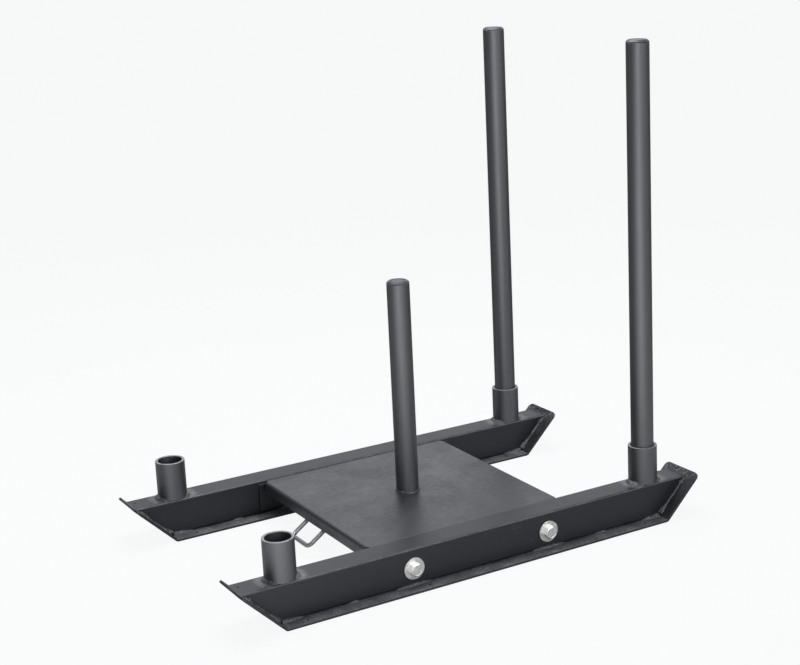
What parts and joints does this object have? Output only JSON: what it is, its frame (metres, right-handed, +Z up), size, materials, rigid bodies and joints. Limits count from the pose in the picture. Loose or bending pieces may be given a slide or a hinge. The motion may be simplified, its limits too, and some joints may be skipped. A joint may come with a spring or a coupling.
{
  "type": "weight sled",
  "caption": "Steel weight sled for pushing and towing: two box-section runners on bent skis, a bolted deck with a plate post, lift-out push poles in sockets and a tow loop.",
  "frame": {"origin": "on the floor, midway between the two rails and midway along the sled", "axes": "+X to the rear, where the push poles stand; +Y to the pusher's right, toward the right rail; +Z up"},
  "size_m": [1.0658, 0.646, 1.018],
  "materials": {
    "powder_coat": "satin powder coat",
    "tube_coat": "satin powder coat, a little smoother",
    "plug_plastic": "moulded",
    "zinc_plate": "bright zinc plate",
    "rod_steel": "worn steel rod"
  },
  "bodies": {
    "frame": {"left_rail_tube": "powder_coat", "left_ski_plate": "powder_coat", "left_deck_side_plate": "powder_coat", "left_front_socket": "tube_coat", "left_front_bolt": "zinc_plate", "left_front_outer_washer": "zinc_plate", "left_front_inner_washer": "zinc_plate", "left_front_lock_nut": "zinc_plate", "left_rear_socket": "tube_coat", "left_rear_bolt": "zinc_plate", "left_rear_outer_washer": "zinc_plate", "left_rear_inner_washer": "zinc_plate", "left_rear_lock_nut": "zinc_plate", "right_rail_tube": "powder_coat", "right_ski_plate": "powder_coat", "right_deck_side_plate": "powder_coat", "right_front_socket": "tube_coat", "right_front_bolt": "zinc_plate", "right_front_outer_washer": "zinc_plate", "right_front_inner_washer": "zinc_plate", "right_front_lock_nut": "zinc_plate", "right_rear_socket": "tube_coat", "right_rear_bolt": "zinc_plate", "right_rear_outer_washer": "zinc_plate", "right_rear_inner_washer": "zinc_plate", "right_rear_lock_nut": "zinc_plate", "deck_pan": "powder_coat", "front_deck_rib": "powder_coat", "rear_deck_rib": "powder_coat", "post_doubler_plate": "powder_coat", "weight_post": "tube_coat", "weight_post_end_plug": "plug_plastic", "tow_loop": "rod_steel"},
    "left_pole": {"left_push_pole": "tube_coat", "left_pole_end_plug": "plug_plastic"},
    "right_pole": {"right_push_pole": "tube_coat", "right_pole_end_plug": "plug_plastic"}
  },
  "joints": [
    {"name": "left_pole_lift", "type": "slide", "parent": "frame", "child": "left_pole", "axis": [0, 0, 1], "range_m": [0, 0.1]},
    {"name": "right_pole_lift", "type": "slide", "parent": "frame", "child": "right_pole", "axis": [0, 0, 1], "range_m": [0, 0.1]}
  ]
}
